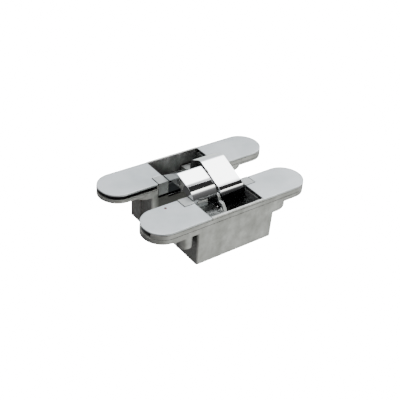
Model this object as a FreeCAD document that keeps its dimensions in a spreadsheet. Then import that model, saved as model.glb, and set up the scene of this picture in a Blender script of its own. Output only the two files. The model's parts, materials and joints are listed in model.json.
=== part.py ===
import FreeCAD, Part
import math
import os
import Sketcher

# Concealed door hinge with two die-cast housings, two crossed arms and adjustable carriers.
# It is modelled fully open, at 180 degrees, with both housings face up.
# Origin: centre of the four fixing-screw holes, on the underside of the frame housing's flange.
# +X runs along the hinge, +Y from the door housing towards the frame housing, +Z out of the faces.

# Sizes in millimetres: name, value
SIZES = [
    # Both housings
    ("frame_plate_length", 132.5),
    ("door_plate_length", 127.5),
    ("plate_width", 28.0),
    ("housing_spacing", 50.0),
    ("flange_depth", 6.5),
    ("cover_thickness", 1.2),
    ("opening_length", 42.4),
    ("wall", 1.6),
    ("floor_wall", 1.8),
    ("cavity_length", 59.8),
    ("box_corner_radius", 1.5),
    ("frame_box_length", 68.0),
    ("frame_box_depth", 39.0),
    ("door_box_length", 63.0),
    ("door_box_depth", 33.4),
    ("door_flange_extra", 1.4),
    ("box_draft", 0.6),
    ("step_length", 96.0),
    ("frame_step_depth", 9.7),
    ("door_step_depth", 14.0),
    ("step_inner_end", 26.0),
    ("cover_gap", 2.5),
    ("lip_clearance", 0.15),
    ("groove_height", 0.35),
    ("groove_depth", 0.3),
    ("parting_depth", 4.3),
    ("end_panel_depth", 1.2),
    ("end_panel_near", 3.9),
    ("end_panel_far", 14.6),
    ("rim_length", 20.0),
    ("rim_width", 2.2),
    ("rim_depth", 8.4),
    ("cast_boss_radius", 5.3),
    ("cast_boss_depth", 17.0),
    ("cast_boss_along", 38.5),
    ("cast_boss_offset", 8.7),
    ("fixing_end_inset", 11.25),
    ("fixing_spacing_wide", 13.0),
    ("fixing_hole_radius", 2.3),
    ("fixing_head_radius", 4.4),
    ("ear_window_length", 58.0),
    ("ear_window_depth", 11.2),
    ("arm_window_length", 41.6),
    ("arm_window_depth", 13.0),
    # Cover plates
    ("cover_inset", 0.15),
    ("cover_edge_radius", 0.35),
    ("notch_clearance_long", 0.6),
    ("notch_clearance_wide", 0.3),
    ("peg_radius", 1.5),
    ("peg_length", 4.0),
    ("peg_clearance", 0.08),
    ("peg_near", 42.0),
    ("peg_end_inset", 4.5),
    # Adjustable carriers
    ("carrier_clearance", 0.2),
    ("carrier_depth", 27.0),
    ("carrier_floor", 2.0),
    ("carrier_top_gap", 3.0),
    ("ear_length", 7.6),
    ("ear_width", 8.4),
    ("ear_depth", 9.3),
    ("arm_bay_clearance", 0.3),
    ("web_thickness", 2.3),
    ("web_width", 17.5),
    ("web_slope_start", 11.5),
    ("web_end_depth", 12.5),
    ("web_shoulder", 6.5),
    ("web_shoulder_depth", 5.6),
    ("web_nose_radius", 3.3),
    ("cradle_corner", 2.5),
    ("cradle_edge", 0.8),
    ("ramp_start", 7.3),
    ("knuckle_radius", 3.6),
    ("knuckle_near", 8.5),
    ("knuckle_far", 17.5),
    ("knuckle_foot", 0.9),
    ("knuckle_clearance", 0.5),
    ("knuckle_end_gap", 0.6),
    ("knuckle_edge", 0.6),
    ("notch_top_depth", 1.0),
    ("frame_cradle_depth", 13.9),
    ("frame_cradle_reach", 13.5),
    ("frame_cradle_rim", 10.4),
    ("frame_cradle_slope", 2.2),
    ("door_cradle_depth", 10.9),
    ("door_cradle_reach", 10.4),
    ("door_cradle_rim", 1.4),
    ("door_cradle_slope", 12.4),
    # Linkage: pivots measured from the inner side and the face of a housing
    ("pivot_inset", 3.5),
    ("pivot_depth", 5.0),
    ("centre_height", 4.8),
    ("closed_gap", 4.0),
    ("slide_inset", 5.2),
    ("slide_depth", 12.0),
    # Arms
    ("arm_gap", 3.3),
    ("arm_clearance", 0.4),
    ("hub_reach", 3.6),
    ("leg_half_width", 3.0),
    ("hub_corner", 3.3),
    ("leg_corner", 2.9),
    ("underside_height", 1.2),
    ("left_nose_height", 4.0),
    ("left_nose_overhang", 0.6),
    ("left_nose_radius", 11.5),
    ("left_ridge_inset", 17.0),
    ("left_ridge_height", 10.6),
    ("left_dip_inset", 11.4),
    ("left_dip_height", 7.0),
    ("left_shoulder_height", -0.2),
    ("left_leg_width", 11.8),
    ("left_leg_inset", 14.6),
    ("left_ridge_radius", 1.2),
    ("right_crest_inset", 10.5),
    ("right_crest_height", 11.0),
    ("right_crest_radius", 6.0),
    ("right_back_height", 5.8),
    ("right_nose_height", -0.3),
    ("right_nose_radius", 8.0),
    ("crook_radius", 4.0),
    ("crook_depth", 3.0),
    ("right_crook_run", 5.2),
    ("left_crook_run", 4.2),
    ("hub_shoulder_depth", 1.5),
    ("right_hub_shoulder_run", 4.9),
    ("left_hub_shoulder_run", 2.9),
    # Pins, bushes and screws
    ("pivot_pin_radius", 2.0),
    ("pivot_pin_seat", 4.0),
    ("slide_pin_radius", 1.5),
    ("slide_pin_seat", 2.3),
    ("centre_pin_radius", 1.6),
    ("bush_wall", 0.5),
    ("running_clearance", 0.05),
    ("slot_clearance", 0.3),
    ("slot_end_clearance", 0.3),
    ("spacer_radius", 3.6),
    ("spacer_clearance", 0.15),
    ("adjuster_along", 25.4),
    ("adjuster_inset", 20.0),
    ("adjuster_radius", 2.4),
    ("adjuster_clearance", 0.1),
    ("adjuster_top", 3.4),
    ("adjuster_foot_radius", 1.5),
    ("adjuster_foot_length", 2.2),
    ("adjuster_boss_radius", 4.2),
    ("adjuster_boss_gap", 1.8),
    ("locking_along", 25.8),
    ("locking_inset", 21.5),
    ("locking_radius", 2.0),
    ("locking_length", 12.0),
    ("locking_head_radius", 3.2),
    ("locking_head_height", 2.2),
    ("socket_radius", 1.45),
    ("socket_depth", 1.8),
]

document = FreeCAD.newDocument("concealed_hinge")
sheet = document.addObject("Spreadsheet::Sheet", "Sizes")
for row, (alias, value) in enumerate(SIZES, start=1):
    sheet.set("A%d" % row, alias)
    sheet.set("B%d" % row, str(value))
    sheet.setAlias("B%d" % row, alias)
document.recompute()


class Size:
    """A length held both as the sheet's expression and as its present value."""

    def __init__(self, expression, value):
        self.expression = expression
        self.value = value

    def combine(self, sign, other, value):
        return Size("(%s %s %s)" % (self.expression, sign, other.expression), value)

    def __add__(self, other):
        other = as_size(other)
        return self.combine("+", other, self.value + other.value)

    def __sub__(self, other):
        other = as_size(other)
        return self.combine("-", other, self.value - other.value)

    def __mul__(self, other):
        other = as_size(other)
        return self.combine("*", other, self.value * other.value)

    def __truediv__(self, other):
        other = as_size(other)
        return self.combine("/", other, self.value / other.value)

    def __neg__(self):
        return as_size(0) - self

    def __radd__(self, other):
        return as_size(other) + self

    def __rsub__(self, other):
        return as_size(other) - self

    def __rmul__(self, other):
        return as_size(other) * self


def as_size(length):
    """Wrap a plain number so that it can stand in an expression."""
    if isinstance(length, Size):
        return length
    return Size("(%r)" % float(length), float(length))


def size(alias):
    """Read one named size from the sheet."""
    return Size("Sizes." + alias, float(sheet.get(alias)))


def bind(target, path, length):
    """Tie a property to the sheet."""
    target.setExpression(path, as_size(length).expression)


# Places that several pieces share
face = size("flange_depth")
flange_top = face - size("cover_thickness")
mid_y = -size("housing_spacing") / 2
half_width = size("plate_width") / 2
inner_side = size("housing_spacing") / 2 - half_width
outer_side = inner_side + size("plate_width")
pivot_y = inner_side + size("pivot_inset")
slide_y = inner_side + size("slide_inset")
bay_half = size("opening_length") / 2 - size("arm_bay_clearance") / 2
arm_outer_x = bay_half - size("arm_clearance")
arm_inner_x = size("arm_gap") / 2
notch_near_x = size("knuckle_near") - size("knuckle_end_gap")
notch_far_x = size("knuckle_far") + size("knuckle_end_gap")


# Sketch and feature helpers

def new_body(label):
    body = document.addObject("PartDesign::Body", label)
    body.Label = label
    return body


def new_sketch(body, name, role, offset):
    """Put a sketch on one of the body's origin planes, moved along its normal by offset."""
    sketch = body.newObject("Sketcher::SketchObject", name)
    plane = [item for item in body.Origin.OriginFeatures if item.Role == role][0]
    sketch.AttachmentSupport = (plane, [""])
    sketch.MapMode = "FlatFace"
    bind(sketch, "AttachmentOffset.Base.z", offset)
    return sketch


def place_point(sketch, geometry, position, across, up):
    """Fix one point of a sketch at a place given by the sheet."""
    for kind, length in (("DistanceX", across), ("DistanceY", up)):
        index = sketch.addConstraint(Sketcher.Constraint(kind, geometry, position, as_size(length).value))
        bind(sketch, "Constraints[%d]" % index, length)


def draw_outline(sketch, points):
    """Draw a closed outline; a third entry bulges the side that follows into a half circle."""
    corners = [(as_size(point[0]), as_size(point[1])) for point in points]
    base = sketch.GeometryCount
    for index, point in enumerate(points):
        start = corners[index]
        end = corners[(index + 1) % len(points)]
        here = FreeCAD.Vector(start[0].value, start[1].value, 0)
        there = FreeCAD.Vector(end[0].value, end[1].value, 0)
        if len(point) == 3:
            middle = (here + there) * 0.5
            outwards = FreeCAD.Vector(point[2], 0, 0) * (here - there).Length * 0.5
            side = Part.Arc(here, middle + outwards, there)
        else:
            side = Part.LineSegment(here, there)
        sketch.addGeometry(side, False)
    for index, point in enumerate(points):
        following = (index + 1) % len(points)
        if len(point) == 3:
            bulge_out = point[2] > 0
            low_first = corners[index][1].value < corners[following][1].value
            starts_first = low_first == bulge_out
            first, last = (1, 2) if starts_first else (2, 1)
            place_point(sketch, base + index, first, *corners[index])
            place_point(sketch, base + index, last, *corners[following])
            centre = sketch.addConstraint(
                Sketcher.Constraint("DistanceX", base + index, 3, corners[index][0].value))
            bind(sketch, "Constraints[%d]" % centre, corners[index][0])
        else:
            place_point(sketch, base + index, 1, *corners[index])
            place_point(sketch, base + index, 2, *corners[following])


def draw_box(sketch, low_x, high_x, low_y, high_y):
    draw_outline(sketch, [(low_x, low_y), (high_x, low_y), (high_x, high_y), (low_x, high_y)])


def draw_stadium(sketch, centre_y, half_length, radius):
    run = half_length - radius
    draw_outline(sketch, [(-run, centre_y - radius), (run, centre_y - radius, 1),
                          (run, centre_y + radius), (-run, centre_y + radius, -1)])


def draw_circles(sketch, places, radius):
    for across, up in places:
        centre = FreeCAD.Vector(as_size(across).value, as_size(up).value, 0)
        circle = Part.Circle(centre, FreeCAD.Vector(0, 0, 1), as_size(radius).value)
        index = sketch.addGeometry(circle, False)
        place_point(sketch, index, 3, across, up)
        limit = sketch.addConstraint(Sketcher.Constraint("Radius", index, as_size(radius).value))
        bind(sketch, "Constraints[%d]" % limit, radius)


def pad(body, sketch, length, downwards=False, taper=None):
    feature = body.newObject("PartDesign::Pad", sketch.Name + "_pad")
    feature.Profile = sketch
    bind(feature, "Length", length)
    feature.Reversed = downwards
    if taper is not None:
        bind(feature, "TaperAngle", taper)
    sketch.Visibility = False
    document.recompute()
    return feature


def pocket(body, sketch, length, towards_normal=False, taper=None):
    """Cut along the sketch's normal or against it, and make sure that something was cut."""
    before = body.Shape.Volume
    feature = body.newObject("PartDesign::Pocket", sketch.Name + "_cut")
    feature.Profile = sketch
    bind(feature, "Length", length)
    feature.Reversed = towards_normal
    if taper is not None:
        bind(feature, "TaperAngle", taper)
    document.recompute()
    if not body.Shape.Volume < before:
        raise RuntimeError(sketch.Name + " cuts nothing")
    return feature


def fillet(body, name, radius, wanted):
    """Round every edge of the body's tip for which wanted(edge) is true."""
    base = body.Tip
    edges = ["Edge%d" % (index + 1) for index, edge in enumerate(base.Shape.Edges) if wanted(edge)]
    if not edges:
        raise RuntimeError(name + " finds no edge")
    feature = body.newObject("PartDesign::Fillet", name)
    feature.Base = (base, edges)
    bind(feature, "Radius", radius)
    document.recompute()
    return feature


NEAR = 0.02


def runs_along_x(edge, y, z):
    """True for an edge parallel to X through the given y and z."""
    ends = [vertex.Point for vertex in edge.Vertexes]
    return len(ends) == 2 and all(abs(end.y - as_size(y).value) < NEAR
                                  and abs(end.z - as_size(z).value) < NEAR for end in ends)


def lies_at(edge, axis, level):
    """True for an edge that lies wholly in the plane axis = level."""
    return all(abs(getattr(vertex.Point, axis) - as_size(level).value) < NEAR
               for vertex in edge.Vertexes)


def rod(name, radius, start_x, length, y, z):
    """A round bar along +X."""
    bar = document.addObject("Part::Cylinder", name)
    bind(bar, "Radius", radius)
    bind(bar, "Height", length)
    bar.Placement.Rotation = FreeCAD.Rotation(FreeCAD.Vector(0, 1, 0), 90)
    bind(bar, "Placement.Base.x", start_x)
    bind(bar, "Placement.Base.y", y)
    bind(bar, "Placement.Base.z", z)
    return bar


def post(name, radius, low_z, height, x, y):
    """A round bar along +Z."""
    bar = document.addObject("Part::Cylinder", name)
    bind(bar, "Radius", radius)
    bind(bar, "Height", height)
    bind(bar, "Placement.Base.x", x)
    bind(bar, "Placement.Base.y", y)
    bind(bar, "Placement.Base.z", low_z)
    return bar


def cut(label, base, tool):
    result = document.addObject("Part::Cut", label)
    result.Base = base
    result.Tool = tool
    result.Label = label
    return result


def fuse(label, shapes):
    result = document.addObject("Part::MultiFuse", label)
    result.Shapes = shapes
    result.Refine = True
    result.Label = label
    return result


# Die-cast housings

# The raised rim that backs the left cover runs on round the tip and stops at this share of it
RIM_END_SHARE = 0.45
RIM_TURN_SHARE = 0.6


def housing(label, side, plate_length, box_length, box_depth, step_depth):
    """side is 1 for the frame housing and -1 for the door housing, whose outer side is at -Y."""
    centre = mid_y + side * (inner_side + half_width)
    inner = mid_y + side * inner_side
    outer = mid_y + side * outer_side
    cavity_half = size("cavity_length") / 2
    body = new_body(label)
    box = new_sketch(body, label + "_box", "XY_Plane", 0)
    draw_box(box, -box_length / 2, box_length / 2, centre - half_width, centre + half_width)
    pad(body, box, box_depth - face, downwards=True, taper=-size("box_draft"))
    fillet(body, label + "_box_corners", size("box_corner_radius"),
           lambda edge: edge.BoundBox.ZLength > box_depth.value / 2)
    flange_base = as_size(0) if side > 0 else -size("door_flange_extra")
    flange = new_sketch(body, label + "_flange", "XY_Plane", flange_base)
    draw_stadium(flange, centre, plate_length / 2, half_width)
    pad(body, flange, flange_top - flange_base)
    end_steps(body, label, side, centre, step_depth)
    if side > 0:
        panel = new_sketch(body, label + "_end_panel", "XY_Plane", face - box_depth - 1)
        draw_box(panel, -box_length / 2 - 1, -box_length / 2 + size("end_panel_depth"),
                 inner + size("end_panel_near"), inner + size("end_panel_far"))
        pocket(body, panel, box_depth - step_depth + 1, towards_normal=True)
    cavity = new_sketch(body, label + "_cavity", "XY_Plane", flange_top)
    draw_box(cavity, -cavity_half, cavity_half, inner + side * size("wall"), outer - side * size("wall"))
    pocket(body, cavity, flange_top + box_depth - face - size("floor_wall"))
    ear_window = new_sketch(body, label + "_ear_window", "XY_Plane", flange_top)
    window_half = size("ear_window_length") / 2
    draw_box(ear_window, -window_half, window_half, inner - side * 1, inner + side * size("wall") * 1.5)
    pocket(body, ear_window, size("ear_window_depth") - size("cover_thickness"))
    arm_window = new_sketch(body, label + "_arm_window", "XY_Plane", flange_top)
    window_half = size("arm_window_length") / 2
    draw_box(arm_window, -window_half, window_half, inner - side * 1, inner + side * size("wall") * 1.5)
    pocket(body, arm_window, size("arm_window_depth") - size("cover_thickness"))
    recess = new_sketch(body, label + "_cover_recess", "XY_Plane", flange_top)
    past_end = plate_length / 2 + 1
    tip = plate_length / 2 - half_width
    rim_end = centre + side * half_width * RIM_END_SHARE
    draw_outline(recess, [(-past_end, inner - side * 1), (-cavity_half, inner - side * 1),
                          (-cavity_half, outer - side * size("rim_width")),
                          (-tip, outer - side * size("rim_width")),
                          (-tip - half_width * RIM_TURN_SHARE, rim_end), (-past_end, rim_end)])
    pocket(body, recess, size("cover_gap"))
    for name, level in (("shadow", flange_top), ("parting", face - size("parting_depth"))):
        groove = new_sketch(body, label + "_" + name + "_groove", "XY_Plane", level)
        draw_stadium(groove, centre, plate_length / 2 + 1, half_width + 1)
        draw_stadium(groove, centre, plate_length / 2 - size("groove_depth"), half_width - size("groove_depth"))
        pocket(body, groove, size("groove_height"))
    lip_half = size("opening_length") / 2 - size("lip_clearance")
    lip = new_sketch(body, label + "_lip", "XY_Plane", flange_top)
    draw_box(lip, -lip_half, lip_half, outer - side * size("wall"), outer)
    pad(body, lip, size("cover_thickness"))
    fixing_places = [(along * (plate_length / 2 - size("fixing_end_inset")),
                      centre + across * size("fixing_spacing_wide") / 2)
                     for along in (-1, 1) for across in (-1, 1)]
    screw_holes = new_sketch(body, label + "_fixing_holes", "XY_Plane", flange_top)
    draw_circles(screw_holes, fixing_places, size("fixing_hole_radius"))
    pocket(body, screw_holes, face - flange_base)
    for end, top in ((-1, flange_top - size("cover_gap")), (1, flange_top)):
        heads = new_sketch(body, label + "_heads_%s" % ("left" if end < 0 else "right"), "XY_Plane", top)
        draw_circles(heads, [place for place in fixing_places if place[0].value * end > 0],
                     size("fixing_head_radius"))
        pocket(body, heads, size("fixing_head_radius") - size("fixing_hole_radius"), taper=-45)
    pegs = new_sketch(body, label + "_peg_holes", "XY_Plane", flange_top)
    draw_circles(pegs, peg_places(plate_length, centre, (-1, 1)),
                 size("peg_radius") + size("peg_clearance"))
    pocket(body, pegs, size("peg_length") + 0.5)
    adjuster_boss(body, label, side, box_depth)
    return body


def peg_places(plate_length, centre, ends):
    far = plate_length / 2 - size("peg_end_inset")
    return [(end * place, centre) for end in ends for place in (size("peg_near"), far)]


def end_steps(body, label, side, centre, step_depth):
    """The thicker stretch of the flange beside the box, half round at its ends."""
    run = size("step_length") / 2 - half_width
    start = size("step_inner_end")
    ends = (-1, 1) if side > 0 else (1,)
    for end in ends:
        step = new_sketch(body, label + "_step_%s" % ("left" if end < 0 else "right"), "XY_Plane", 0)
        draw_outline(step, [(end * start, centre - half_width), (end * run, centre - half_width, end),
                            (end * run, centre + half_width), (end * start, centre + half_width)])
        pad(body, step, step_depth - face, downwards=True)
    if side < 0:
        rim_start = size("door_box_length") / 2 + size("rim_length") - 2
        rim = new_sketch(body, label + "_rim", "XY_Plane", 0)
        draw_box(rim, -rim_start, -start, centre - half_width, centre - half_width + 2 * size("rim_width"))
        pad(body, rim, size("rim_depth") - face, downwards=True)
        boss = new_sketch(body, label + "_cast_boss", "XY_Plane", 0)
        draw_circles(boss, [(-size("cast_boss_along"), centre - size("cast_boss_offset"))],
                     size("cast_boss_radius"))
        pad(body, boss, size("cast_boss_depth") - face, downwards=True)


def adjuster_boss(body, label, side, box_depth):
    """The foot bearing of the adjusting screw, cast on the floor of the box."""
    x = side * size("adjuster_along")
    y = mid_y + side * (inner_side + size("adjuster_inset"))
    floor = face - box_depth + size("floor_wall")
    top = face - size("carrier_depth") - size("adjuster_boss_gap")
    boss = new_sketch(body, label + "_adjuster_boss", "XY_Plane", floor - 0.5)
    draw_circles(boss, [(x, y)], size("adjuster_boss_radius"))
    pad(body, boss, top - floor + 0.5)
    bore = new_sketch(body, label + "_adjuster_bearing", "XY_Plane", top)
    draw_circles(bore, [(x, y)], size("adjuster_foot_radius") + size("adjuster_clearance"))
    pocket(body, bore, size("adjuster_foot_length") + 0.3)


# Cover plates

def cover(label, side, end, plate_length):
    """A push-fit plate over one end of a housing; end is -1 on the left and 1 on the right."""
    centre = mid_y + side * (inner_side + half_width)
    inner = centre - side * (half_width - size("cover_inset"))
    outer = centre + side * (half_width - size("cover_inset"))
    radius = half_width - size("cover_inset")
    run = plate_length / 2 - half_width
    start = size("opening_length") / 2
    notch_x = bay_half + size("ear_length") + size("notch_clearance_long")
    notch_y = mid_y + side * (inner_side + size("ear_width") + size("notch_clearance_wide"))
    body = new_body(label)
    plate = new_sketch(body, label + "_plate", "XY_Plane", flange_top)
    draw_outline(plate, [(end * start, outer), (end * run, outer, end), (end * run, inner),
                         (end * notch_x, inner), (end * notch_x, notch_y), (end * start, notch_y)])
    pad(body, plate, size("cover_thickness"))
    fillet(body, label + "_edge", size("cover_edge_radius"), lambda edge: lies_at(edge, "z", face))
    pegs = new_sketch(body, label + "_pegs", "XY_Plane", flange_top)
    draw_circles(pegs, peg_places(plate_length, centre, (end,)), size("peg_radius"))
    pad(body, pegs, size("peg_length"), downwards=True)
    return body


# Carriers: a casting in each housing that holds the fixed pivot and guides the sliding pin

# Depth to which pads of one casting run into each other
WELD = 0.1


def low_end(turn, near_x, far_x):
    """The lower x of a stretch that lies at near_x to far_x on the side that turn names."""
    return near_x if turn > 0 else -far_x


def carrier_casting(label, turn, cradle):
    """turn is 1 for the frame side; the door side is the same casting turned half round, -1."""
    depth, reach, rim, slope = cradle
    half_length = size("cavity_length") / 2 - size("carrier_clearance")
    near = inner_side + size("wall") + size("carrier_clearance")
    far = outer_side - size("wall") - size("carrier_clearance")
    bottom = face - size("carrier_depth")
    block_top = face - size("carrier_top_gap")
    across = [mid_y + turn * near, mid_y + turn * far]
    body = new_body(label)
    base = new_sketch(body, label + "_floor", "XY_Plane", bottom)
    draw_box(base, -half_length, half_length, *across)
    pad(body, base, size("carrier_floor"))
    for end, word in ((-1, "left"), (1, "right")):
        block = new_sketch(body, label + "_block_" + word, "XY_Plane", bottom)
        draw_box(block, end * bay_half, end * half_length, *across)
        pad(body, block, block_top - bottom)
        ear = new_sketch(body, label + "_ear_" + word, "XY_Plane", face - size("ear_depth"))
        draw_box(ear, end * bay_half, end * (bay_half + size("ear_length")), mid_y + turn * inner_side,
                 mid_y + turn * (inner_side + size("ear_width")))
        pad(body, ear, size("ear_depth"))
    web = new_sketch(body, label + "_web", "YZ_Plane", -size("web_thickness") / 2)
    web_far = inner_side + size("web_width")
    web_turn = inner_side + size("web_shoulder")
    web_top = face - size("pivot_depth") + size("web_nose_radius")
    draw_outline(web, [(mid_y + turn * near, bottom), (mid_y + turn * web_far, bottom),
                       (mid_y + turn * web_far, face - size("web_end_depth")),
                       (mid_y + turn * (inner_side + size("web_slope_start")),
                        face - size("web_shoulder_depth")),
                       (mid_y + turn * (web_turn + 1.5), face - size("web_shoulder_depth")),
                       (mid_y + turn * web_turn, web_top),
                       (mid_y + turn * (inner_side + 0.3), web_top),
                       (mid_y + turn * (inner_side + 0.3), face - size("ear_depth") - 0.5),
                       (mid_y + turn * near, face - size("arm_window_depth") + 2)])
    pad(body, web, size("web_thickness"))
    for y, name in ((inner_side + 0.3, "nose_front"), (web_turn, "nose_back")):
        fillet(body, label + "_" + name, size("web_nose_radius") - 0.4,
               lambda edge: runs_along_x(edge, mid_y + turn * y, web_top))
    cradle_low = size("web_thickness") / 2 - WELD
    cradle_end = near + reach
    saddle = new_sketch(body, label + "_cradle", "YZ_Plane", low_end(turn, cradle_low, bay_half + WELD))
    draw_box(saddle, *across, bottom, face - depth)
    pad(body, saddle, bay_half + WELD - cradle_low)
    ramp = new_sketch(body, label + "_ramp", "YZ_Plane",
                      low_end(turn, size("ramp_start"), bay_half + WELD))
    draw_outline(ramp, [(mid_y + turn * cradle_end, face - depth - 1), (mid_y + turn * far, face - depth - 1),
                        (mid_y + turn * far, face - rim - size("cradle_edge")),
                        (mid_y + turn * (far - size("cradle_edge")), face - rim),
                        (mid_y + turn * (cradle_end + slope), face - rim),
                        (mid_y + turn * cradle_end, face - depth)])
    pad(body, ramp, bay_half + WELD - size("ramp_start"))
    fillet(body, label + "_cradle_corner", size("cradle_corner"),
           lambda edge: runs_along_x(edge, mid_y + turn * cradle_end, face - depth))
    knuckle_low = low_end(turn, size("knuckle_near"), size("knuckle_far"))
    foot = new_sketch(body, label + "_knuckle_foot", "YZ_Plane", knuckle_low)
    draw_box(foot, mid_y + turn * near, mid_y + turn * (pivot_y + size("knuckle_foot")),
             face - depth - 1, face - size("pivot_depth"))
    pad(body, foot, size("knuckle_far") - size("knuckle_near"))
    knuckle = new_sketch(body, label + "_knuckle", "YZ_Plane", knuckle_low)
    draw_circles(knuckle, [(mid_y + turn * pivot_y, face - size("pivot_depth"))], size("knuckle_radius"))
    pad(body, knuckle, size("knuckle_far") - size("knuckle_near"))
    crest = face - size("pivot_depth") + size("knuckle_radius")
    fillet(body, label + "_knuckle_ends", size("knuckle_edge"),
           lambda edge: (abs(edge.BoundBox.ZMax - crest.value) < NEAR
                         and edge.BoundBox.XLength < NEAR and edge.BoundBox.YLength > crest.value / 2
                         and abs(abs(edge.BoundBox.XMin) - 13) < 5))
    pivot = new_sketch(body, label + "_pivot_seat", "YZ_Plane", -turn * (size("web_thickness") / 2 + 0.5))
    draw_circles(pivot, [(mid_y + turn * pivot_y, face - size("pivot_depth"))], size("pivot_pin_radius"))
    pocket(body, pivot, size("web_thickness") / 2 + 0.5 + bay_half + size("pivot_pin_seat"),
           towards_normal=turn > 0)
    adjuster = new_sketch(body, label + "_adjuster_thread", "XY_Plane", block_top)
    draw_circles(adjuster, [(turn * size("adjuster_along"),
                             mid_y + turn * (inner_side + size("adjuster_inset")))],
                 size("adjuster_radius") + size("adjuster_clearance"))
    pocket(body, adjuster, size("carrier_depth"))
    lock_place = [(-turn * size("locking_along"), mid_y + turn * (inner_side + size("locking_inset")))]
    lock = new_sketch(body, label + "_locking_thread", "XY_Plane", block_top)
    draw_circles(lock, lock_place, size("locking_radius"))
    pocket(body, lock, size("locking_length"))
    lock_head = new_sketch(body, label + "_locking_counterbore", "XY_Plane", block_top)
    draw_circles(lock_head, lock_place, size("locking_head_radius"))
    pocket(body, lock_head, size("locking_head_height"))
    return body


# Path of the sliding pins
# The fold is exact: each arm turns about its own pivot and both share the centre pin, so
# one housing is always the mirror image of the other in the plane that halves the angle.

def turned(point, angle):
    """Turn a (y, z) pair clockwise about the origin, seen along -X."""
    return (point[0] * math.cos(angle) + point[1] * math.sin(angle),
            point[1] * math.cos(angle) - point[0] * math.sin(angle))


def fold_turn():
    """Angle that the right arm turns about its pivot between open and closed, in radians."""
    rise = size("centre_height").value + size("pivot_depth").value
    reach = math.hypot(pivot_y.value, rise)
    closed_rise = size("closed_gap").value / 2 + size("pivot_depth").value
    closed_reach = math.sqrt(reach ** 2 - closed_rise ** 2)
    return math.atan2(rise, -pivot_y.value) - math.atan2(closed_rise, closed_reach)


def slide_place(share):
    """Where the left arm's sliding pin is in the frame housing, for a share of the fold."""
    pivot = (pivot_y.value, -size("pivot_depth").value)
    centre = (-pivot[0], size("centre_height").value - pivot[1])
    moved = turned(centre, fold_turn() * share)
    start = (slide_y.value, -size("slide_depth").value - size("centre_height").value)
    swung = turned(start, (math.pi - fold_turn()) * share)
    return (pivot[0] + moved[0] + swung[0], pivot[1] + moved[1] + swung[1])


def slot_tool(name, turn):
    """The curved guide slot, as a solid that runs through the web and into the end block."""
    half = size("slide_pin_radius").value + size("slot_clearance").value
    steps = 12
    run_out = size("slot_end_clearance").value
    sides = {1: [], -1: []}
    ends = []
    for step in range(steps + 1):
        share = step / steps
        here = slide_place(share)
        before = slide_place(share - 0.001)
        after = slide_place(share + 0.001)
        length = math.hypot(after[0] - before[0], after[1] - before[1])
        along = ((after[0] - before[0]) / length, (after[1] - before[1]) / length)
        stretch = {0: -run_out, steps: run_out}.get(step, 0.0)
        here = (here[0] + along[0] * stretch, here[1] + along[1] * stretch)
        for hand in sides:
            sides[hand].append((here[0] - hand * along[1] * half, here[1] + hand * along[0] * half))
        if step in (0, steps):
            sign = -1 if step == 0 else 1
            ends.append((here[0] + sign * along[0] * half, here[1] + sign * along[1] * half))
    low_x = -bay_half.value - size("slide_pin_seat").value - size("slot_end_clearance").value
    high_x = size("web_thickness").value / 2 + 0.2

    def spot(pair):
        return FreeCAD.Vector(turn * low_x, mid_y.value + turn * pair[0], face.value + pair[1])

    edges = []
    for hand in (1, -1):
        curve = Part.BSplineCurve()
        curve.interpolate([spot(pair) for pair in sides[hand]])
        edges.append(curve.toShape())
    for index, cap in ((0, ends[0]), (-1, ends[1])):
        edges.append(Part.Arc(spot(sides[1][index]), spot(cap), spot(sides[-1][index])).toShape())
    wire = Part.Wire(Part.__sortEdges__(edges))
    tool = document.addObject("Part::Feature", name)
    tool.Shape = Part.Face(wire).extrude(FreeCAD.Vector(turn * (high_x - low_x), 0, 0))
    return tool


def carrier(label, turn, cradle):
    casting = carrier_casting(label + "_casting", turn, cradle)
    return cut(label, casting, slot_tool(label + "_guide_slot", turn))


# Arms: the left arm turns in the door carrier and slides in the frame carrier,
# the right arm turns in the frame carrier and slides in the door carrier.

def arm(label, turn, low_x, outline, rounds, bores):
    """A cast arm of constant outline, with its corners rounded, its bores along X, and a notch
    that straddles the carrier's knuckle; turn names the housing that holds the pivot."""
    body = new_body(label)
    profile = new_sketch(body, label + "_profile", "YZ_Plane", low_x)
    draw_outline(profile, [(mid_y + y, face + z) for y, z in outline])
    pad(body, profile, arm_outer_x - arm_inner_x)
    for index, (corner, radius) in enumerate(rounds):
        y, z = outline[corner]
        fillet(body, "%s_round_%d" % (label, index), radius,
               lambda edge: runs_along_x(edge, mid_y + y, face + z))
    for name, y, z, radius in bores:
        bore = new_sketch(body, "%s_%s_bore" % (label, name), "YZ_Plane", low_x - 0.5)
        draw_circles(bore, [(mid_y + y, face + z)], radius)
        pocket(body, bore, arm_outer_x - arm_inner_x + 1, towards_normal=True)
    notch_low = low_end(turn, notch_near_x, notch_far_x)
    swing = new_sketch(body, label + "_knuckle_swing", "YZ_Plane", notch_low)
    draw_circles(swing, [(mid_y + turn * pivot_y, face - size("pivot_depth"))],
                 size("knuckle_radius") + size("knuckle_clearance"))
    pocket(body, swing, notch_far_x - notch_near_x, towards_normal=True)
    opening = new_sketch(body, label + "_knuckle_opening", "YZ_Plane", notch_low)
    draw_box(opening, mid_y + turn * pivot_y, mid_y + turn * (pivot_y + size("hub_reach") + 1),
             face - size("pivot_depth") - size("hub_reach") - 1, face - size("notch_top_depth"))
    pocket(body, opening, notch_far_x - notch_near_x, towards_normal=True)
    return body


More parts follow.
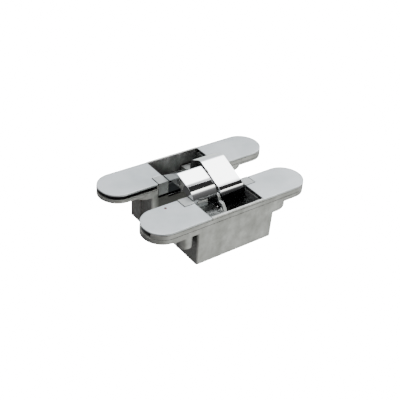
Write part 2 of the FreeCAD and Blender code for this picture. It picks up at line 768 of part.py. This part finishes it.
def right_arm():
    leg_outer = -slide_y - size("leg_half_width")
    leg_inner = -slide_y + size("leg_half_width")
    leg_end = -size("slide_depth") - size("leg_half_width")
    hub_outer = pivot_y + size("hub_reach")
    hub_inner = pivot_y - size("hub_reach")
    hub_end = -size("pivot_depth") - size("hub_reach")
    outline = [(hub_outer, hub_end), (hub_outer, size("right_back_height")),
               (hub_outer - size("right_crest_inset"), size("right_crest_height")),
               (leg_outer, size("right_nose_height")), (leg_outer, leg_end), (leg_inner, leg_end),
               (leg_inner, -size("crook_depth")),
               (leg_inner + size("right_crook_run"), size("underside_height")),
               (hub_inner - size("right_hub_shoulder_run"), size("underside_height")),
               (hub_inner, -size("hub_shoulder_depth")), (hub_inner, hub_end)]
    rounds = [(0, size("hub_corner")), (10, size("hub_corner")), (1, size("right_crest_radius") * 0.6),
              (2, size("right_crest_radius")), (3, size("right_nose_radius")),
              (4, size("leg_corner")), (5, size("leg_corner")), (6, size("crook_radius"))]
    bores = [("pivot", pivot_y, -size("pivot_depth"), size("pivot_pin_radius") + size("bush_wall")),
             ("centre", as_size(0), size("centre_height"), size("centre_pin_radius") + size("bush_wall")),
             ("slide", -slide_y, -size("slide_depth"), size("slide_pin_radius"))]
    return arm("right_arm", 1, arm_inner_x, outline, rounds, bores)


def left_arm():
    leg_outer = slide_y + size("leg_half_width")
    leg_inner = slide_y - size("leg_half_width")
    leg_end = -size("slide_depth") - size("leg_half_width")
    hub_outer = -pivot_y - size("hub_reach")
    hub_inner = -pivot_y + size("hub_reach")
    hub_end = -size("pivot_depth") - size("hub_reach")
    nose_y = hub_outer - size("left_nose_overhang")
    outline = [(hub_outer, hub_end), (nose_y, size("left_nose_height")),
               (leg_outer - size("left_ridge_inset"), size("left_ridge_height")),
               (leg_outer - size("left_dip_inset"), size("left_dip_height")),
               (leg_outer, size("left_shoulder_height")), (leg_outer, leg_end), (leg_inner, leg_end),
               (leg_inner, -size("crook_depth")),
               (leg_inner - size("left_crook_run"), size("underside_height")),
               (hub_inner + size("left_hub_shoulder_run"), size("underside_height")),
               (hub_inner, -size("hub_shoulder_depth")), (hub_inner, hub_end)]
    rounds = [(0, size("hub_corner") * 0.9), (11, size("hub_corner")), (1, size("left_nose_radius")),
              (2, size("left_ridge_radius")), (4, size("crook_radius")), (5, size("leg_corner")),
              (6, size("leg_corner")), (7, size("crook_radius"))]
    bores = [("pivot", -pivot_y, -size("pivot_depth"), size("pivot_pin_radius") + size("bush_wall")),
             ("centre", as_size(0), size("centre_height"), size("centre_pin_radius") + size("bush_wall")),
             ("slide", slide_y, -size("slide_depth"), size("slide_pin_radius"))]
    body = arm("left_arm", -1, -arm_outer_x, outline, rounds, bores)
    relief = new_sketch(body, "left_arm_relief", "XY_Plane", face + size("left_ridge_height") + 1)
    draw_box(relief, -arm_outer_x + size("left_leg_width"), -arm_inner_x + 1,
             mid_y + leg_outer - size("left_leg_inset"), mid_y + leg_outer + 1)
    pocket(body, relief, size("left_ridge_height") + size("slide_depth") + 2 * size("leg_half_width"))
    return body


# Pins, bushes and spacer

def pivot_pin(label, turn):
    low = -size("web_thickness") / 2
    length = bay_half + size("pivot_pin_seat") - low
    start = low if turn > 0 else -(bay_half + size("pivot_pin_seat"))
    bar = rod(label, size("pivot_pin_radius"), start, length, mid_y + turn * pivot_y,
              face - size("pivot_depth"))
    bar.Label = label
    return bar


def slide_pin(label, turn):
    """The open end of a linkage: pressed in the arm's leg, free in the guide slot."""
    high = size("web_thickness") / 2 - 0.2
    length = bay_half + size("slide_pin_seat") + high
    start = -high if turn < 0 else -(bay_half + size("slide_pin_seat"))
    bar = rod(label, size("slide_pin_radius"), start, length, mid_y + turn * slide_y,
              face - size("slide_depth"))
    bar.Label = label
    return bar


def bush(label, start_x, length, y, z, pin_radius):
    outer = rod(label + "_outside", pin_radius + size("bush_wall"), start_x, length, y, z)
    inner = rod(label + "_inside", pin_radius + size("running_clearance"), start_x - 1, length + 2, y, z)
    return cut(label, outer, inner)


def centre_spacer():
    width = size("arm_gap") - 2 * size("spacer_clearance")
    outer = rod("spacer_outside", size("spacer_radius"), -width / 2, width, mid_y,
                face + size("centre_height"))
    inner = rod("spacer_inside", size("centre_pin_radius") + size("running_clearance"), -width / 2 - 1,
                width + 2, mid_y, face + size("centre_height"))
    return cut("centre_spacer", outer, inner)


# Screws

def hex_socket(name, top_z, x, y):
    socket = document.addObject("Part::Prism", name)
    socket.Polygon = 6
    bind(socket, "Circumradius", size("socket_radius"))
    bind(socket, "Height", size("socket_depth") + 1)
    bind(socket, "Placement.Base.x", x)
    bind(socket, "Placement.Base.y", y)
    bind(socket, "Placement.Base.z", top_z - size("socket_depth"))
    return socket


def adjusting_screw(label, turn):
    x = turn * size("adjuster_along")
    y = mid_y + turn * (inner_side + size("adjuster_inset"))
    top = face - size("adjuster_top")
    foot = face - size("carrier_depth") - size("adjuster_boss_gap") + 0.1
    shank = post(label + "_shank", size("adjuster_radius"), foot, top - foot, x, y)
    pin = post(label + "_foot", size("adjuster_foot_radius"), foot - size("adjuster_foot_length"),
               size("adjuster_foot_length") + 0.5, x, y)
    solid = fuse(label + "_blank", [shank, pin])
    return cut(label, solid, hex_socket(label + "_socket", top, x, y))


def locking_screw(label, turn):
    x = -turn * size("locking_along")
    y = mid_y + turn * (inner_side + size("locking_inset"))
    block_top = face - size("carrier_top_gap")
    head_low = block_top - size("locking_head_height")
    head = post(label + "_head", size("locking_head_radius"), head_low,
                size("locking_head_height") - 0.2, x, y)
    shank = post(label + "_shank", size("locking_radius"), block_top - size("locking_length"),
                 size("locking_length") - 0.5, x, y)
    solid = fuse(label + "_blank", [head, shank])
    return cut(label, solid, hex_socket(label + "_socket", block_top - 0.2, x, y))


# Assembly

FRAME_CRADLE = [size("frame_cradle_" + word) for word in ("depth", "reach", "rim", "slope")]
DOOR_CRADLE = [size("door_cradle_" + word) for word in ("depth", "reach", "rim", "slope")]
hub_z = face - size("pivot_depth")
centre_z = face + size("centre_height")
arm_width = arm_outer_x - arm_inner_x

nodes = [
    housing("frame_housing", 1, size("frame_plate_length"), size("frame_box_length"),
            size("frame_box_depth"), size("frame_step_depth")),
    housing("door_housing", -1, size("door_plate_length"), size("door_box_length"),
            size("door_box_depth"), size("door_step_depth")),
    cover("frame_cover_left", 1, -1, size("frame_plate_length")),
    cover("frame_cover_right", 1, 1, size("frame_plate_length")),
    cover("door_cover_left", -1, -1, size("door_plate_length")),
    cover("door_cover_right", -1, 1, size("door_plate_length")),
    carrier("frame_carrier", 1, FRAME_CRADLE),
    carrier("door_carrier", -1, DOOR_CRADLE),
    right_arm(),
    left_arm(),
    pivot_pin("frame_pivot_pin", 1),
    pivot_pin("door_pivot_pin", -1),
    slide_pin("frame_slide_pin", 1),
    slide_pin("door_slide_pin", -1),
    rod("centre_pin", size("centre_pin_radius"), -arm_outer_x + 0.1, 2 * arm_outer_x - 0.2, mid_y,
        centre_z),
    bush("frame_pivot_bush_inner", arm_inner_x, notch_near_x - arm_inner_x, mid_y + pivot_y, hub_z,
         size("pivot_pin_radius")),
    bush("frame_pivot_bush_outer", notch_far_x, arm_outer_x - notch_far_x, mid_y + pivot_y, hub_z,
         size("pivot_pin_radius")),
    bush("door_pivot_bush_inner", -notch_near_x, notch_near_x - arm_inner_x, mid_y - pivot_y, hub_z,
         size("pivot_pin_radius")),
    bush("door_pivot_bush_outer", -arm_outer_x, arm_outer_x - notch_far_x, mid_y - pivot_y, hub_z,
         size("pivot_pin_radius")),
    bush("right_centre_bush", arm_inner_x, arm_width, mid_y, centre_z, size("centre_pin_radius")),
    bush("left_centre_bush", -arm_outer_x, arm_width, mid_y, centre_z, size("centre_pin_radius")),
    centre_spacer(),
    adjusting_screw("frame_adjusting_screw", 1),
    adjusting_screw("door_adjusting_screw", -1),
    locking_screw("frame_locking_screw", 1),
    locking_screw("door_locking_screw", -1),
]
document.recompute()

for item in document.Objects:
    if "Invalid" in item.State or "Error" in item.State:
        raise RuntimeError("%s did not recompute" % item.Label)
os.makedirs("parts", exist_ok=True)
for node in nodes:
    if node.Shape.isNull() or not node.Shape.isValid() or not node.Shape.Solids:
        raise RuntimeError("%s has no valid shape" % node.Label)
    node.Shape.exportStep("parts/%s.step" % node.Label)
    print("%-24s solids %d volume %.0f mm3" % (node.Label, len(node.Shape.Solids), node.Shape.Volume))
print("Fold of the right arm %.3f degrees" % math.degrees(fold_turn()))
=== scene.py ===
import bmesh
import bpy
import json
import math
from mathutils import Matrix, Vector


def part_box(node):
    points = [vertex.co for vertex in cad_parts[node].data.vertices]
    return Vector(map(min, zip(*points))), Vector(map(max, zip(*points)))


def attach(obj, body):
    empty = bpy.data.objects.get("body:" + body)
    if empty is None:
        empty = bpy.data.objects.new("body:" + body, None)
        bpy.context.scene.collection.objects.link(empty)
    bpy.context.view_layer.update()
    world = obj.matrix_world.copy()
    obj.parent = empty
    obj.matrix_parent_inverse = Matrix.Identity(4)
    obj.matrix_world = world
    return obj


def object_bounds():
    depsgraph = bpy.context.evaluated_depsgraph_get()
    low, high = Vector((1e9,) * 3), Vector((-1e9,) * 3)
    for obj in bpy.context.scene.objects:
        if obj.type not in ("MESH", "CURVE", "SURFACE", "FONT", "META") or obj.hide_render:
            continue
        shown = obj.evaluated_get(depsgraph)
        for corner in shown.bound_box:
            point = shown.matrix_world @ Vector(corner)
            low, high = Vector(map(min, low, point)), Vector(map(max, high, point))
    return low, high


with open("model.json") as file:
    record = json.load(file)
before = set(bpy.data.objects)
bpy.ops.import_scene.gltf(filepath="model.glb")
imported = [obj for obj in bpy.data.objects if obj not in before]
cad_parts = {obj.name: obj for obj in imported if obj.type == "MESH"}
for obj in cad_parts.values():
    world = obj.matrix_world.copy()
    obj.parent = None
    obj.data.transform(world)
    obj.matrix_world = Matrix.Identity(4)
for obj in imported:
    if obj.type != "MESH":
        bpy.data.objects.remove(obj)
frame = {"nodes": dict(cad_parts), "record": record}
cad_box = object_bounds()

# Driving places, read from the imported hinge: X runs along it, Y towards the frame side, Z up

MM = 0.001
FRAME_LOW, FRAME_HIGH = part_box("frame_housing")
DOOR_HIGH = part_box("door_housing")[1]
FACE = FRAME_HIGH[2]
MIDDLE_Y = (FRAME_LOW[1] + DOOR_HIGH[1]) / 2
FLOOR = cad_box[0][2] - 0.1 * MM


def linear(code):
    """Turn an sRGB hex code into the linear colour that a shader takes."""
    parts = [int(code[start:start + 2], 16) / 255 for start in (1, 3, 5)]
    return tuple([part / 12.92 if part <= 0.04045 else ((part + 0.055) / 1.055) ** 2.4
                  for part in parts] + [1.0])


def add(tree, kind, inputs=None, stops=None, **settings):
    """Add a node with its settings, inputs (values or other nodes' outputs, listed where several
    share a name) and, for a ramp, its (position, hex code) stops; the answer holds its outputs."""
    node = tree.nodes.new(kind)
    for name, value in settings.items():
        setattr(node, name, value)
    for name, given in (inputs or {}).items():
        sockets = [item for item in node.inputs if item.name == name and item.enabled]
        for socket, value in zip(sockets, given if isinstance(given, list) else [given]):
            if isinstance(value, bpy.types.NodeSocket):
                tree.links.new(value, socket)
            else:
                socket.default_value = value
    if stops:
        elements = node.color_ramp.elements
        while len(elements) < len(stops):
            elements.new(0.5)
        for element, (position, code) in zip(elements, stops):
            element.position = position
            element.color = linear(code)
    return {output.name: output for output in node.outputs if output.enabled}


def blank(name):
    """A material with only its Principled shader: the material, its tree and the shader's inputs."""
    material = bpy.data.materials.new(name)
    material.use_nodes = True
    return material, material.node_tree, material.node_tree.nodes["Principled BSDF"].inputs


def put(name, mesh, material):
    """Put a finished mesh into the scene as an object with its material."""
    mesh.materials.append(material)
    piece = bpy.data.objects.new(name, mesh)
    bpy.context.scene.collection.objects.link(piece)
    return piece


# Materials

def ao_painted_shade(tree, tone, reach, code):
    """Painted shade: a tone that turns dark in pockets and gaps narrower than the reach, where
    ambient occlusion finds them, so that the eye reads the recess as deep."""
    full_shade_ao, no_shade_ao = 0.08, 0.6
    openness = add(tree, "ShaderNodeAmbientOcclusion", {"Distance": reach}, samples=8)["AO"]
    clear_of_shade = add(tree, "ShaderNodeMapRange", {"Value": openness, "From Min": full_shade_ao,
                                             "From Max": no_shade_ao})["Result"]
    return add(tree, "ShaderNodeMix", {"Factor": clear_of_shade, "A": linear(code), "B": tone},
               data_type="RGBA")["Result"]


def painted_gap_shade(tree, place):
    """Where painted shade darkens the frame side of the gap: 1 on the frame side of the gap, beside
    the arms and below the covers, and 0 elsewhere. Each row fades from none to full along one direction."""
    axes = add(tree, "ShaderNodeSeparateXYZ", {"Vector": place})
    off_middle = add(tree, "ShaderNodeMath", {"Value": axes["X"]}, operation="ABSOLUTE")["Value"]
    mask = 1.0
    for distance, none, full in ((off_middle, 33 * MM, 28 * MM),
                                 (axes["Y"], MIDDLE_Y, MIDDLE_Y + 2 * MM),
                                 (axes["Y"], MIDDLE_Y + 20 * MM, MIDDLE_Y + 18 * MM),
                                 (axes["Z"], FACE - 7 * MM, FACE - 9 * MM)):
        share = add(tree, "ShaderNodeMapRange", {"Value": distance, "From Min": none,
                                                 "From Max": full})["Result"]
        mask = add(tree, "ShaderNodeMath", {"Value": [mask, share]}, operation="MULTIPLY")["Value"]
    return mask


def die_cast_zinc():
    """Raw die-cast zinc: dull grey, with the cloudy marks that the metal leaves where it flowed
    and cooled, and a faint orange-peel skin, so that highlights spread and break up. The frame
    side of the gap and the narrow pockets are darkened with painted shade, so that they read as deep."""
    material, tree, shader = blank("raw_die_cast_zinc")
    place = add(tree, "ShaderNodeTexCoord")["Object"]
    cloud, flow_mark, peel, edge_radius, relief = 9.0 * MM, 5.0 * MM, 1.1 * MM, 0.35 * MM, 0.12 * MM
    clouds = add(tree, "ShaderNodeTexNoise", {"Vector": place, "Scale": 1 / cloud, "Detail": 5.0,
                                              "Roughness": 0.62})["Fac"]
    upright = add(tree, "ShaderNodeMapping", {"Vector": place, "Scale": (1.0, 1.0, 0.55)})["Vector"]
    flow = add(tree, "ShaderNodeTexNoise", {"Vector": upright, "Scale": 1 / flow_mark,
                                            "Detail": 4.0})["Fac"]
    skin = add(tree, "ShaderNodeTexNoise", {"Vector": place, "Scale": 1 / peel, "Detail": 3.0})["Fac"]
    marks = add(tree, "ShaderNodeMix", {"Factor": 0.45, "A": clouds, "B": flow})["Result"]
    tone = add(tree, "ShaderNodeValToRGB", {"Fac": marks},
               [(0.28, "#A3A4A0"), (0.5, "#BBBCB9"), (0.7, "#D2D3D1")])["Color"]
    # Painted shade: the frame side of the gap turns dark grey, and pockets and gaps narrower than 24 mm
    # turn near black.
    gap_shaded_tone = add(tree, "ShaderNodeMix", {"Factor": painted_gap_shade(tree, place), "A": tone,
                                          "B": linear("#555653")}, data_type="RGBA")["Result"]
    tree.links.new(ao_painted_shade(tree, gap_shaded_tone, 24 * MM, "#121312"), shader["Base Color"])
    rough = add(tree, "ShaderNodeMapRange", {"Value": clouds, "From Min": 0.3, "From Max": 0.7,
                                             "To Min": 0.52, "To Max": 0.38})["Result"]
    tree.links.new(rough, shader["Roughness"])
    shader["Metallic"].default_value = 1.0
    rounded = add(tree, "ShaderNodeBevel", {"Radius": edge_radius}, samples=4)["Normal"]
    height = add(tree, "ShaderNodeMix", {"Factor": 0.3, "A": skin, "B": clouds})["Result"]
    bump = add(tree, "ShaderNodeBump", {"Height": height, "Strength": 0.3, "Distance": relief,
                                        "Normal": rounded})["Normal"]
    tree.links.new(bump, shader["Normal"])
    return material


def satin_chrome(name, pale, dark, roughness, painted_shade_reach):
    """Satin chrome plate: silver grey with a faint haze, blasted before plating, so highlights
    stay soft."""
    material, tree, shader = blank(name)
    place = add(tree, "ShaderNodeTexCoord")["Object"]
    haze_patch, blast_grit, edge_radius, relief = 24.0 * MM, 0.25 * MM, 0.2 * MM, 0.03 * MM
    haze = add(tree, "ShaderNodeTexNoise", {"Vector": place, "Scale": 1 / haze_patch, "Detail": 3.0})["Fac"]
    grit = add(tree, "ShaderNodeTexNoise", {"Vector": place, "Scale": 1 / blast_grit, "Detail": 2.0})["Fac"]
    tone = add(tree, "ShaderNodeValToRGB", {"Fac": haze}, [(0.35, dark), (0.65, pale)])["Color"]
    # Painted shade: the tone turns near black in pockets and gaps narrower than the reach.
    tree.links.new(ao_painted_shade(tree, tone, painted_shade_reach, "#101010"), shader["Base Color"])
    shader["Metallic"].default_value = 1.0
    shader["Roughness"].default_value = roughness
    rounded = add(tree, "ShaderNodeBevel", {"Radius": edge_radius}, samples=4)["Normal"]
    bump = add(tree, "ShaderNodeBump", {"Height": grit, "Strength": 0.12, "Distance": relief,
                                        "Normal": rounded})["Normal"]
    tree.links.new(bump, shader["Normal"])
    return material


def polished_chrome(name, fairing_y, fairing_slope):
    """Polished chrome plate: a mirror, with a faint ripple that the casting leaves under it. The
    polishing wheel fairs the flat into the nose, which lifts the reflected edge of the ceiling.
    Below the covers' face the base colour darkens to painted shade, so that the legs sink into shade."""
    material, tree, shader = blank(name)
    place = add(tree, "ShaderNodeTexCoord")["Object"]
    axes = add(tree, "ShaderNodeSeparateXYZ", {"Vector": place})
    # Painted shade: the base colour darkens from mirror grey to dark grey below the covers' face.
    full_shade_z, no_shade_z = FACE - 3 * MM, FACE + 1.5 * MM
    clear_of_painted_shade = add(tree, "ShaderNodeMapRange", {"Value": axes["Z"], "From Min": full_shade_z,
                                                "From Max": no_shade_z})["Result"]
    tone = add(tree, "ShaderNodeMix", {"Factor": clear_of_painted_shade, "A": linear("#2E3033"), "B": linear("#EDEFF1")},
               data_type="RGBA")["Result"]
    tree.links.new(tone, shader["Base Color"])
    shader["Metallic"].default_value = 1.0
    ripple_length, wipe_mark, edge_radius, relief = 6.0 * MM, 3.0 * MM, 0.3 * MM, 0.05 * MM
    along = add(tree, "ShaderNodeMapping", {"Vector": place, "Scale": (0.4, 1.0, 1.0)})["Vector"]
    wiped = add(tree, "ShaderNodeTexNoise", {"Vector": along, "Scale": 1 / wipe_mark, "Detail": 3.0})["Fac"]
    rough = add(tree, "ShaderNodeMapRange", {"Value": wiped, "From Min": 0.35, "From Max": 0.7,
                                             "To Min": 0.05, "To Max": 0.11})["Result"]
    tree.links.new(rough, shader["Roughness"])
    rounded = add(tree, "ShaderNodeBevel", {"Radius": edge_radius}, samples=4)["Normal"]
    fairing_length = 2.3 * MM
    past = add(tree, "ShaderNodeMath", {"Value": [fairing_y, axes["Y"]]}, operation="SUBTRACT")["Value"]
    fall = add(tree, "ShaderNodeMath", {"Value": [past, 0.0, fairing_length]},
               operation="SMOOTH_MAX")["Value"]
    faired = add(tree, "ShaderNodeBump", {"Height": fall, "Strength": 1.0, "Distance": fairing_slope,
                                          "Normal": rounded}, invert=True)["Normal"]
    ripple = add(tree, "ShaderNodeTexNoise", {"Vector": place, "Scale": 1 / ripple_length,
                                              "Detail": 1.0})["Fac"]
    bump = add(tree, "ShaderNodeBump", {"Height": ripple, "Strength": 0.05, "Distance": relief,
                                        "Normal": faired})["Normal"]
    tree.links.new(bump, shader["Normal"])
    return material


def turned_steel(name, code, roughness):
    """Turned steel: fine rings round the pins, which lie along X, drawn as coarse as they need to
    show. On the upright screws the same lines read as tool marks across the head."""
    material, tree, shader = blank(name)
    place = add(tree, "ShaderNodeTexCoord")["Object"]
    ring_width, relief = 0.6 * MM, 0.02 * MM
    along = add(tree, "ShaderNodeMapping", {"Vector": place, "Scale": (1.0, 0.15, 0.15)})["Vector"]
    rings = add(tree, "ShaderNodeTexNoise", {"Vector": along, "Scale": 1 / ring_width,
                                             "Detail": 2.0})["Fac"]
    shader["Base Color"].default_value = linear(code)
    shader["Metallic"].default_value = 1.0
    shader["Roughness"].default_value = roughness
    bump = add(tree, "ShaderNodeBump", {"Height": rings, "Strength": 0.15,
                                        "Distance": relief})["Normal"]
    tree.links.new(bump, shader["Normal"])
    return material


def mottled(name, grain_width, detail, pale, dark, roughness):
    """A non-metal with a faint grain between two tones. Moulded acetal takes it from the mould, so
    that the bushes look matt, and brushed-on marking paint from its pigment, so that the red is dull."""
    material, tree, shader = blank(name)
    place = add(tree, "ShaderNodeTexCoord")["Object"]
    grain = add(tree, "ShaderNodeTexNoise", {"Vector": place, "Scale": 1 / grain_width,
                                             "Detail": detail})["Fac"]
    tone = add(tree, "ShaderNodeValToRGB", {"Fac": grain}, [(0.3, dark), (0.7, pale)])["Color"]
    tree.links.new(tone, shader["Base Color"])
    shader["Roughness"].default_value = roughness
    return material


FINISHES = {
    "housing_zinc": die_cast_zinc(),
    "cover_satin": satin_chrome("satin_chrome_plate", "#D3D7D9", "#BEC4C6", 0.32, 0.6 * MM),
    "carrier_zinc": satin_chrome("satin_plated_casting", "#AEB1B1", "#9CA0A0", 0.5, 2.5 * MM),
    "arm_chrome": polished_chrome("polished_chrome", MIDDLE_Y - 12.5 * MM, 0.04),
    "pin_steel": turned_steel("ground_steel", "#C6C8CA", 0.22),
    "screw_steel": turned_steel("zinc_plated_steel", "#A9ADB0", 0.3),
    "bearing_polymer": mottled("bearing_acetal", 0.5 * MM, 2.0, "#2A2B2C", "#1B1C1D", 0.5),
}
for part in frame["record"]["subparts"]:
    for slot in frame["nodes"][part["node"]].material_slots:
        slot.material = FINISHES[part["material_slot"]]
frame["nodes"]["left_arm"].material_slots[0].material = polished_chrome(
    "polished_chrome_left", MIDDLE_Y - 7.0 * MM, 0.15)


# Paint mark on the near left cover

def paint_dot(name, from_inner_end, from_gap_edge, radius, height):
    """A dot of red marking paint, slightly domed, that sits on the cover."""
    cover_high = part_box("door_cover_left")[1]
    centre = Vector((cover_high[0] - from_inner_end, cover_high[1] - from_gap_edge, cover_high[2]))
    mesh = bpy.data.meshes.new(name)
    shape = bmesh.new()
    bmesh.ops.create_uvsphere(shape, u_segments=24, v_segments=12, radius=1.0,
                              matrix=Matrix.Translation(centre) @ Matrix.Diagonal(
                                  (radius, radius, height, 1.0)))
    shape.to_mesh(mesh)
    shape.free()
    piece = put(name, mesh, mottled("red_marking_paint", 0.4 * MM, 2.0, "#5A0B0D", "#2E0406", 0.4))
    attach(piece, "door_side")


paint_dot("red_paint_dot", from_inner_end=19.3 * MM, from_gap_edge=3.55 * MM, radius=0.95 * MM,
          height=0.08 * MM)


# Locating rib under the far left cover

def bent_bar():
    """Geometry nodes for a straight bar that is bent round a half circle, open towards +X. The
    bar's length along X is the angle of the bend, in radians."""
    tree = bpy.data.node_groups.new("bent_bar", "GeometryNodeTree")
    for name, kind in (("Centre", "Vector"), ("Radius", "Float"), ("Thickness", "Float"),
                       ("Height", "Float"), ("Finish", "Material")):
        tree.interface.new_socket(name=name, in_out="INPUT", socket_type="NodeSocket" + kind)
    tree.interface.new_socket(name="Mesh", in_out="OUTPUT", socket_type="NodeSocketGeometry")
    segments = 32
    sizes = add(tree, "NodeGroupInput")
    straight = add(tree, "ShaderNodeCombineXYZ", {"X": math.pi, "Y": sizes["Thickness"],
                                                  "Z": sizes["Height"]})["Vector"]
    bar = add(tree, "GeometryNodeMeshCube", {"Size": straight, "Vertices X": segments + 1,
                                             "Vertices Y": 2, "Vertices Z": 2})["Mesh"]
    position = add(tree, "GeometryNodeInputPosition")["Position"]
    point = add(tree, "ShaderNodeSeparateXYZ", {"Vector": position})
    reach = add(tree, "ShaderNodeMath", {"Value": [point["Y"], sizes["Radius"]]},
                operation="SUBTRACT")["Value"]
    bent = {"Z": point["Z"]}
    for axis, turn in (("X", "COSINE"), ("Y", "SINE")):
        share = add(tree, "ShaderNodeMath", {"Value": point["X"]}, operation=turn)["Value"]
        bent[axis] = add(tree, "ShaderNodeMath", {"Value": [reach, share]}, operation="MULTIPLY")["Value"]
    place = add(tree, "ShaderNodeCombineXYZ", bent)["Vector"]
    ring = add(tree, "GeometryNodeSetPosition", {"Geometry": bar, "Position": place,
                                                 "Offset": sizes["Centre"]})["Geometry"]
    real = add(tree, "GeometryNodeRealizeInstances", {"Geometry": ring})["Geometry"]
    add(tree, "NodeGroupOutput", {"Mesh": add(tree, "GeometryNodeSetMaterial", {
        "Geometry": real, "Material": sizes["Finish"]})["Geometry"]})
    return tree


def cover_rib(name, inset, thickness, top_below_face, foot_below_face):
    """The rib that locates the cover's round end on the flange, seen only through the gap between
    them. Its plate is painted dark as the cover's shade, so that the gap reads as shade."""
    half_width = (FRAME_HIGH[1] - FRAME_LOW[1]) / 2
    sizes = {
        "Centre": (FRAME_LOW[0] + half_width, FRAME_LOW[1] + half_width,
                   FACE - (top_below_face + foot_below_face) / 2),
        "Radius": half_width - inset,
        "Thickness": thickness,
        "Height": foot_below_face - top_below_face,
        # Painted shade: the rib's satin chrome is drawn dark grey, as the cover's shade that falls on it.
        "Finish": satin_chrome("satin_chrome_painted_shade", "#4C4F51", "#3E4143", 0.5, 4 * MM),
    }
    piece = bpy.data.objects.new(name, bpy.data.meshes.new(name))
    bpy.context.scene.collection.objects.link(piece)
    bend = piece.modifiers.new("bend", "NODES")
    bend.node_group = bent_bar()
    for socket in bend.node_group.interface.items_tree:
        if socket.in_out == "INPUT":
            bend[socket.identifier] = sizes[socket.name]
    evaluated = piece.evaluated_get(bpy.context.evaluated_depsgraph_get())
    finished = bpy.data.meshes.new_from_object(evaluated)
    piece.modifiers.remove(bend)
    piece.data = finished
    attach(piece, "frame_side")


cover_rib("frame_cover_left_rib", inset=2.8 * MM, thickness=0.8 * MM, top_below_face=1.15 * MM,
          foot_below_face=3.6 * MM)


# Camera at the photograph's angle

def photo_camera():
    """The camera that was fitted to the outlines of both plates in the photograph."""
    azimuth = math.radians(-38.083)
    elevation = math.radians(34.139)
    roll = math.radians(4.362)
    distance = 462.72 * MM
    target = Vector((-16.073 * MM, MIDDLE_Y - 18.228 * MM, FACE))
    back = Vector((math.sin(azimuth) * math.cos(elevation),
                   -math.cos(azimuth) * math.cos(elevation), math.sin(elevation)))
    right = (-back).cross(Vector((0, 0, 1))).normalized()
    up = back.cross(right)
    rolled_right = right * math.cos(roll) + up * math.sin(roll)
    rolled_up = up * math.cos(roll) - right * math.sin(roll)
    camera = bpy.data.objects.new("photo_camera", bpy.data.cameras.new("photo_camera"))
    camera.data.sensor_fit = "HORIZONTAL"
    camera.data.sensor_width = 36.0
    camera.data.lens = 64.43
    camera.data.clip_start = 0.01
    turn = Matrix((rolled_right, rolled_up, back)).transposed().to_4x4()
    camera.matrix_world = Matrix.Translation(target + back * distance) @ turn
    bpy.context.scene.collection.objects.link(camera)
    bpy.context.scene.camera = camera


# Floor and light

def floor():
    """A cove of white acrylic lit from below, which takes no shadow and isn't mirrored: a floor
    with four walls far off, so that low views end in white too."""
    reach, height = 3.0, 2.0
    plan = [(-reach, -reach), (reach, -reach), (reach, reach), (-reach, reach)]
    corners = [(x, y, FLOOR) for x, y in plan] + [(x, y, FLOOR + height) for x, y in plan]
    walls = [(0, 1, 5, 4), (1, 2, 6, 5), (2, 3, 7, 6), (3, 0, 4, 7)]
    mesh = bpy.data.meshes.new("floor")
    mesh.from_pydata(corners, [], [(0, 1, 2, 3)] + walls)
    material, tree, shader = blank("backlit_white_acrylic")
    shader["Base Color"].default_value = linear("#8C8C8C")
    shader["Roughness"].default_value = 0.9
    shader["Emission Color"].default_value = linear("#FFFFFF")
    shader["Emission Strength"].default_value = 20.0
    piece = put("floor", mesh, material)
    piece.visible_glossy = False
    piece.visible_diffuse = False


def studio():
    """Soft light all round, as two ramps over the hinge, one for its right and one for its left.
    A ramp runs from straight down, 0, past the front, 0.25, the top, 0.5, and the back, 0.75, to
    straight down again, 1. Its stops are listed by what stands there in the studio."""
    world = bpy.data.worlds.new("studio")
    bpy.context.scene.world = world
    world.use_nodes = True
    tree = world.node_tree
    way = add(tree, "ShaderNodeTexCoord")["Generated"]
    parts = add(tree, "ShaderNodeSeparateXYZ", {"Vector": way})
    angle = add(tree, "ShaderNodeMath", {"Value": [parts["Y"], parts["Z"]]}, operation="ARCTAN2")["Value"]
    over = add(tree, "ShaderNodeMapRange", {"Value": angle, "From Min": -math.pi,
                                            "From Max": math.pi})["Result"]
    table_ahead = [(0.0, "#454545"), (0.08, "#5B5C5A"), (0.18, "#5B5C5A"), (0.222, "#505050")]
    dark_front = [(0.25, "#191919"), (0.311, "#1F1F1F"), (0.342, "#2E2E2E")]
    bright_strip = [(0.36, "#8A8A87"), (0.375, "#BDBCB6"), (0.39, "#C4C2BB")]
    black_gap = [(0.395, "#0A0A0A"), (0.499, "#0A0A0A")]
    white_ceiling = [(0.505, "#E1E1E1"), (0.55, "#E1E1E1"), (0.57, "#CBCBCB")]
    back_wall = [(0.597, "#7C7D7E"), (0.64, "#626466"), (0.68, "#636567"), (0.745, "#595B5B")]
    table_behind = [(0.8, "#626563"), (0.84, "#7A7D7C"), (0.88, "#818383"), (0.93, "#5D5F5E"),
                    (1.0, "#303030")]
    right = add(tree, "ShaderNodeValToRGB", {"Fac": over}, table_ahead + dark_front + bright_strip
                + black_gap + white_ceiling + back_wall + table_behind)["Color"]
    shade_ahead = [(0.0, "#303030"), (0.1, "#303030"), (0.14, "#343432"), (0.25, "#303030")]
    grey_ceiling = [(0.4, "#404040"), (0.5, "#7C7C7C"), (0.6, "#6A6A6A")]
    shade_behind = [(0.75, "#303030"), (0.85, "#121212"), (1.0, "#191919")]
    left = add(tree, "ShaderNodeValToRGB", {"Fac": over},
               shade_ahead + grey_ceiling + shade_behind)["Color"]
    wholly_right, wholly_left = 0.1, -0.2
    leftward = add(tree, "ShaderNodeMapRange", {"Value": parts["X"], "From Min": wholly_right,
                                                "From Max": wholly_left})["Result"]
    whole = add(tree, "ShaderNodeMix", {"Factor": leftward, "A": right, "B": left},
                data_type="RGBA")["Result"]
    sky = tree.nodes["Background"].inputs
    tree.links.new(whole, sky["Color"])
    sky["Strength"].default_value = 10.0


photo_camera()
floor()
studio()
